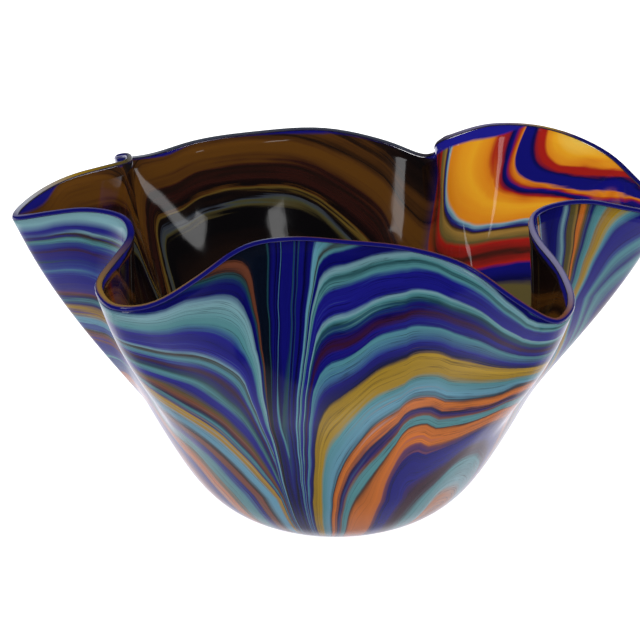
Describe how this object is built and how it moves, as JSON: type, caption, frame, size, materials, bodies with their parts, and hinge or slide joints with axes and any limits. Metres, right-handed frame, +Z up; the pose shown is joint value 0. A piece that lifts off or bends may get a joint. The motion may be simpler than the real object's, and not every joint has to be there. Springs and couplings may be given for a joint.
{
  "type": "art glass bowl",
  "caption": "Hand-blown bowl with a round cup on a ground foot and a deeply ruffled, flared lip; layered coloured glass with combed bands.",
  "frame": {"origin": "centre of the ground face the bowl stands on, on the axis of its round cup", "axes": "+Z up along the cup's axis, +X towards the longest and highest lobe of the lip, -X towards the beak-shaped lobe, -Y towards the lowest part of the lip between the two near lobes"},
  "size_m": [0.3522, 0.2788, 0.1935],
  "materials": {
    "cobalt_wall": "fire-polished opaque cobalt overlay",
    "amber_lining": "fire-polished deep amber, nearly opaque",
    "lip_wrap": "fire-polished",
    "punty_seal": "clear, ground flat below",
    "turquoise_trail": "fire-polished opaque turquoise, with streaks of the colours beside it",
    "yellow_trail": "fire-polished opaque mustard yellow",
    "orange_trail": "fire-polished opaque orange",
    "red_trail": "fire-polished opaque deep red"
  },
  "bodies": {
    "root": {"cobalt_wall": "cobalt_wall", "amber_lining": "amber_lining", "lip_wrap": "lip_wrap", "punty_seal": "punty_seal", "trail_back_broad_turquoise": "turquoise_trail", "trail_back_fine_turquoise": "turquoise_trail", "trail_back_orange": "orange_trail", "trail_back_red": "red_trail", "trail_back_yellow": "yellow_trail", "trail_beak_orange": "orange_trail", "trail_beak_red": "red_trail", "trail_beak_turquoise": "turquoise_trail", "trail_front_broad_orange": "orange_trail", "trail_front_broad_turquoise": "turquoise_trail", "trail_front_broad_yellow": "yellow_trail", "trail_front_fine_orange": "orange_trail", "trail_front_fine_turquoise": "turquoise_trail", "trail_front_lower_yellow": "yellow_trail", "trail_front_upper_red": "red_trail", "trail_front_upper_turquoise": "turquoise_trail", "trail_left_fine_turquoise": "turquoise_trail", "trail_left_orange": "orange_trail", "trail_left_red": "red_trail", "trail_left_upper_turquoise": "turquoise_trail", "trail_left_yellow": "yellow_trail", "trail_right_orange": "orange_trail", "trail_right_red": "red_trail", "trail_right_turquoise": "turquoise_trail", "trail_right_yellow": "yellow_trail"}
  },
  "joints": []
}
